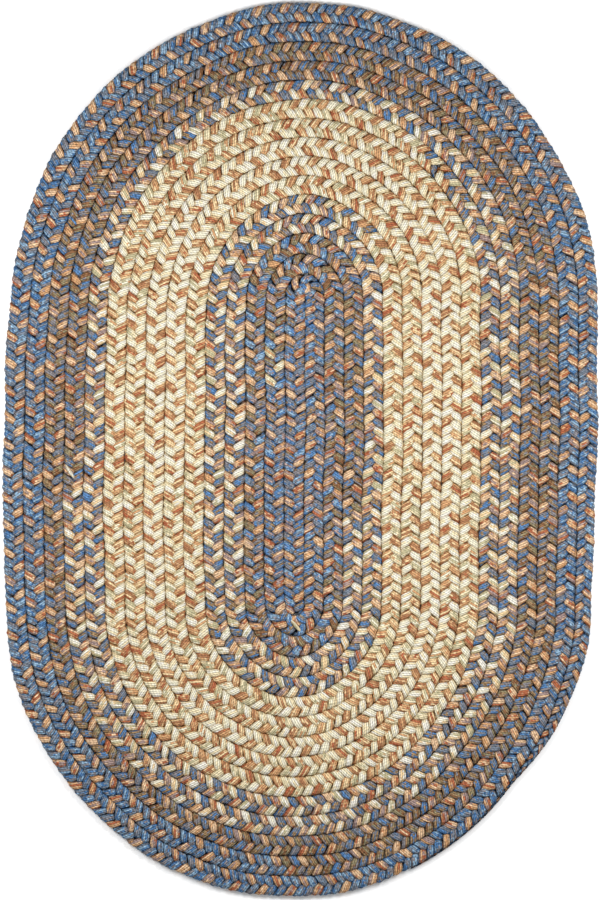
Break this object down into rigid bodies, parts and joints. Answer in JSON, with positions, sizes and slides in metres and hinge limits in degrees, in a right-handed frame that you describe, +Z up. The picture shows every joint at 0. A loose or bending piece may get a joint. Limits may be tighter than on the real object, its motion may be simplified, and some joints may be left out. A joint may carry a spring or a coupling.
{
  "type": "braided rug",
  "caption": "Oval reversible rug of plaited yarn, wound in a flat spiral and sewn edge to edge, lying flat on a floor as a mat.",
  "frame": {"origin": "centre of the bounding box of the rug, on its flat underside", "axes": "+Y along the rug's length, +X across it, +Z up out of the floor; the braid starts near the core's -Y end and winds clockwise and outwards as seen from above"},
  "size_m": [0.6098, 0.9162, 0.01],
  "materials": {
    "braided_yarn": "matt spun yarn, plied and plaited"
  },
  "bodies": {
    "root": {"braided_rug": "braided_yarn"}
  },
  "joints": []
}
